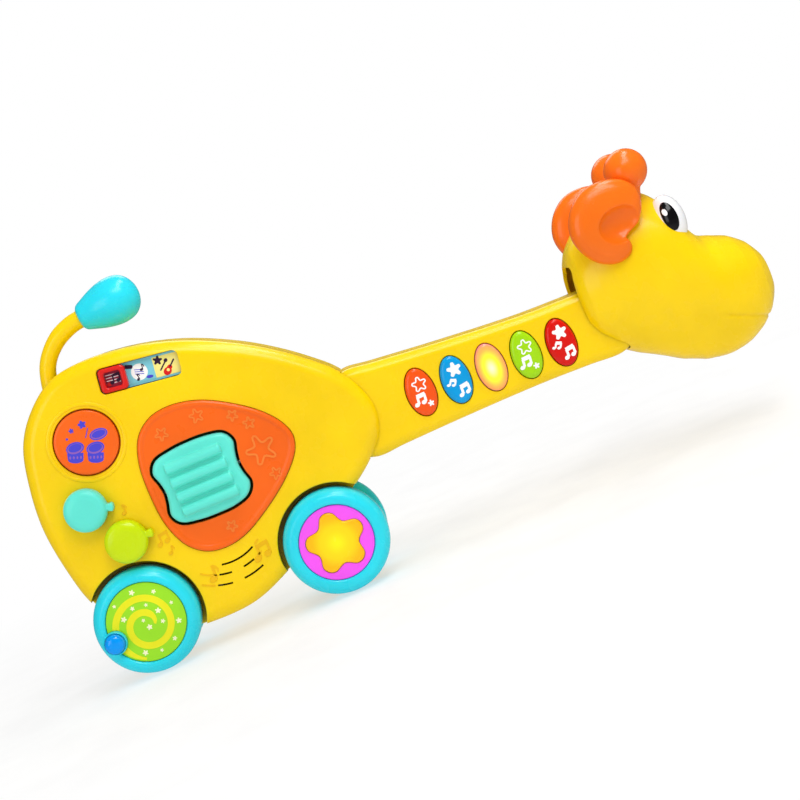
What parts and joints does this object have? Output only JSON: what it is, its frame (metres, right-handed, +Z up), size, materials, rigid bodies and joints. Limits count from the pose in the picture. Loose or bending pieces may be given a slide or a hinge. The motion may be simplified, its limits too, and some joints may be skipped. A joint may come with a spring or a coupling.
{
  "type": "toy electric guitar",
  "caption": "Toddler's electronic guitar shaped like a giraffe on wheels: strum paddle, piano keys along the neck, drum button, knobs, slider, nodding head and whammy tail.",
  "frame": {"origin": "on the floor under the middle of the toy's whole length, on the plane where the front and rear shells meet", "axes": "+X from the tail to the giraffe's nose, +Z up as the toy stands on its wheels, -Y out of the play face"},
  "size_m": [0.4398, 0.082, 0.218],
  "materials": {
    "shell_yellow": "gloss",
    "horn_orange": "gloss",
    "plate_orange": "gloss",
    "paddle_turquoise": "gloss",
    "wheel_cyan": "gloss",
    "knob_lime": "gloss",
    "spiral_green": "printed",
    "star_magenta": "printed",
    "star_amber": "translucent",
    "bead_blue": "translucent",
    "slider_red": "gloss",
    "label_print": "printed",
    "key_orange": "gloss",
    "key_blue": "gloss",
    "key_pink": "translucent",
    "key_green": "gloss",
    "key_red": "gloss",
    "eye_white": "gloss",
    "lamp_white": "translucent",
    "inner_plastic": "matte",
    "silicone": "matte",
    "circuit_board": "satin",
    "speaker_paper": "matte",
    "cell_jacket": "satin",
    "steel": "satin"
  },
  "bodies": {
    "casing": {"body_front_shell": "shell_yellow", "body_rear_shell": "shell_yellow", "neck_front_shell": "shell_yellow", "neck_rear_shell": "shell_yellow", "strum_plate": "plate_orange", "strum_axle": "steel", "strum_bracket": "inner_plastic", "speaker_basket": "steel", "speaker_cone": "speaker_paper", "main_board": "circuit_board", "key_board": "circuit_board", "key_mat": "silicone", "volume_switch": "inner_plastic", "mode_switch": "inner_plastic", "tune_label": "label_print", "star_lamp": "lamp_white", "battery_tray": "inner_plastic", "battery_cell_1": "cell_jacket", "battery_cell_2": "cell_jacket", "battery_cell_3": "cell_jacket", "battery_door": "shell_yellow", "battery_door_screw": "steel", "body_screw_1": "steel", "body_screw_2": "steel", "body_screw_3": "steel", "body_screw_4": "steel", "tail_pin": "steel"},
    "rear_wheels": {"scratch_wheel": "wheel_cyan", "spiral_disc": "spiral_green", "peg_bead": "bead_blue", "rear_wheel_back": "wheel_cyan", "rear_hub_cap": "wheel_cyan", "rear_axle": "steel"},
    "front_wheels": {"star_wheel": "wheel_cyan", "star_disc": "star_magenta", "star_lens": "star_amber", "front_wheel_back": "wheel_cyan", "front_hub_cap": "wheel_cyan", "front_axle": "steel"},
    "head": {"head_front_shell": "shell_yellow", "head_rear_shell": "shell_yellow", "ear_front": "horn_orange", "ear_rear": "horn_orange", "horn_front": "horn_orange", "horn_rear": "horn_orange", "eye_front": "eye_white", "eye_rear": "eye_white", "head_pin": "inner_plastic"},
    "tail": {"tail_arm": "shell_yellow", "tail_tip": "wheel_cyan"},
    "strum": {"strum_paddle": "paddle_turquoise"},
    "drum": {"drum_button": "plate_orange"},
    "volume": {"volume_knob": "paddle_turquoise"},
    "mode": {"mode_knob": "knob_lime"},
    "tune": {"tune_slider": "slider_red"},
    "key1": {"key_1": "key_orange"},
    "key2": {"key_2": "key_blue"},
    "key3": {"key_3": "key_pink"},
    "key4": {"key_4": "key_green"},
    "key5": {"key_5": "key_red"}
  },
  "joints": [
    {"name": "rear_axle_spin", "type": "hinge", "parent": "casing", "child": "rear_wheels", "pos_m": [-0.1849, 0, 0.0305], "axis": [0, 1, 0], "continuous": true},
    {"name": "front_axle_spin", "type": "hinge", "parent": "casing", "child": "front_wheels", "pos_m": [-0.0689, 0, 0.0305], "axis": [0, 1, 0], "continuous": true},
    {"name": "head_nod", "type": "hinge", "parent": "casing", "child": "head", "pos_m": [0.1511, 0, 0.097], "axis": [0, -1, 0], "range_deg": [0, 20]},
    {"name": "tail_whammy", "type": "hinge", "parent": "casing", "child": "tail", "pos_m": [-0.1879, 0, 0.16], "axis": [0, -1, 0], "range_deg": [-8, 8]},
    {"name": "strum_rock", "type": "hinge", "parent": "casing", "child": "strum", "pos_m": [-0.1249, -0.0175, 0.0928], "axis": [1, 0, 0], "range_deg": [-6, 6]},
    {"name": "volume_turn", "type": "hinge", "parent": "casing", "child": "volume", "pos_m": [-0.1914, -0.023, 0.1015], "axis": [0, -1, 0], "range_deg": [-35, 35]},
    {"name": "mode_turn", "type": "hinge", "parent": "casing", "child": "mode", "pos_m": [-0.1774, -0.023, 0.0765], "axis": [0, -1, 0], "range_deg": [-35, 35]},
    {"name": "tune_travel", "type": "slide", "parent": "casing", "child": "tune", "axis": [0.991, 0, -0.134], "range_m": [0, 0.0294]},
    {"name": "drum_press", "type": "slide", "parent": "casing", "child": "drum", "axis": [0, 1, 0], "range_m": [0, 0.002]},
    {"name": "key1_press", "type": "slide", "parent": "casing", "child": "key1", "axis": [0, 1, 0], "range_m": [0, 0.0018]},
    {"name": "key2_press", "type": "slide", "parent": "casing", "child": "key2", "axis": [0, 1, 0], "range_m": [0, 0.0018]},
    {"name": "key3_press", "type": "slide", "parent": "casing", "child": "key3", "axis": [0, 1, 0], "range_m": [0, 0.0018]},
    {"name": "key4_press", "type": "slide", "parent": "casing", "child": "key4", "axis": [0, 1, 0], "range_m": [0, 0.0018]},
    {"name": "key5_press", "type": "slide", "parent": "casing", "child": "key5", "axis": [0, 1, 0], "range_m": [0, 0.0018]}
  ]
}
